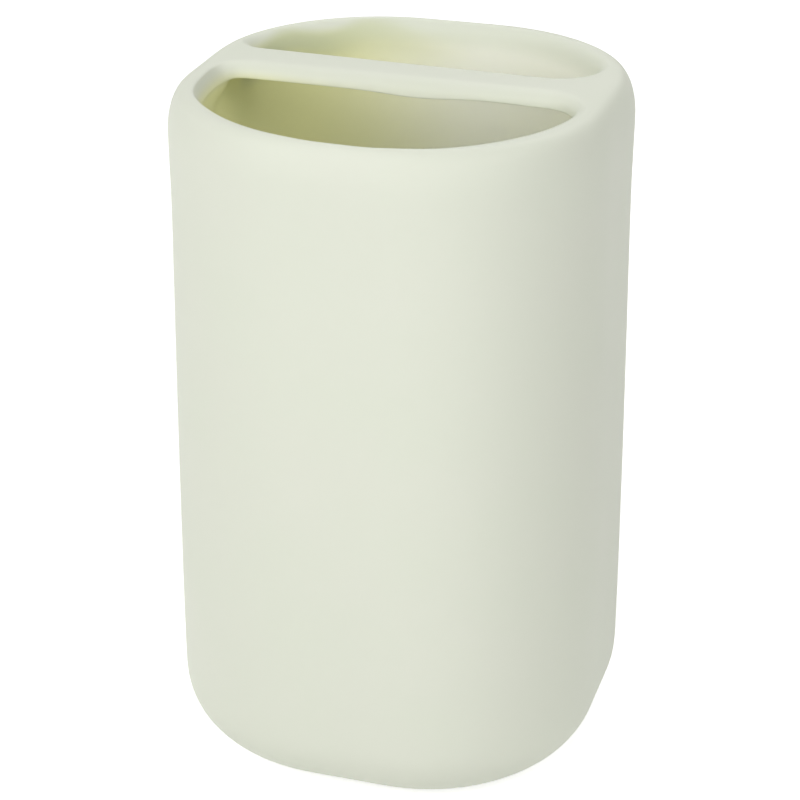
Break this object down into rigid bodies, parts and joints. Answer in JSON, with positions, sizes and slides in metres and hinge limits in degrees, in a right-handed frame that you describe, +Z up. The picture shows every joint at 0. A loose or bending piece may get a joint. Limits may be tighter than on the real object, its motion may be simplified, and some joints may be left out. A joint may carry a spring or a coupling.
{
  "type": "toothbrush holder",
  "caption": "Upright stoneware toothbrush holder of rounded-square plan, its mouth parted by a flat bridge into a wide front slot and a narrower back slot.",
  "frame": {"origin": "on the standing surface, under the middle of the holder", "axes": "+Z up, X along the bridge, -Y towards the wide front slot"},
  "size_m": [0.0694, 0.0694, 0.11],
  "materials": {
    "stoneware": "matte glaze, pale celadon",
    "silicone": "translucent, soft"
  },
  "bodies": {
    "root": {"body": "stoneware", "divider_bridge": "stoneware", "foot_pad_front_left": "silicone", "foot_pad_front_right": "silicone", "foot_pad_back_left": "silicone", "foot_pad_back_right": "silicone"}
  },
  "joints": []
}
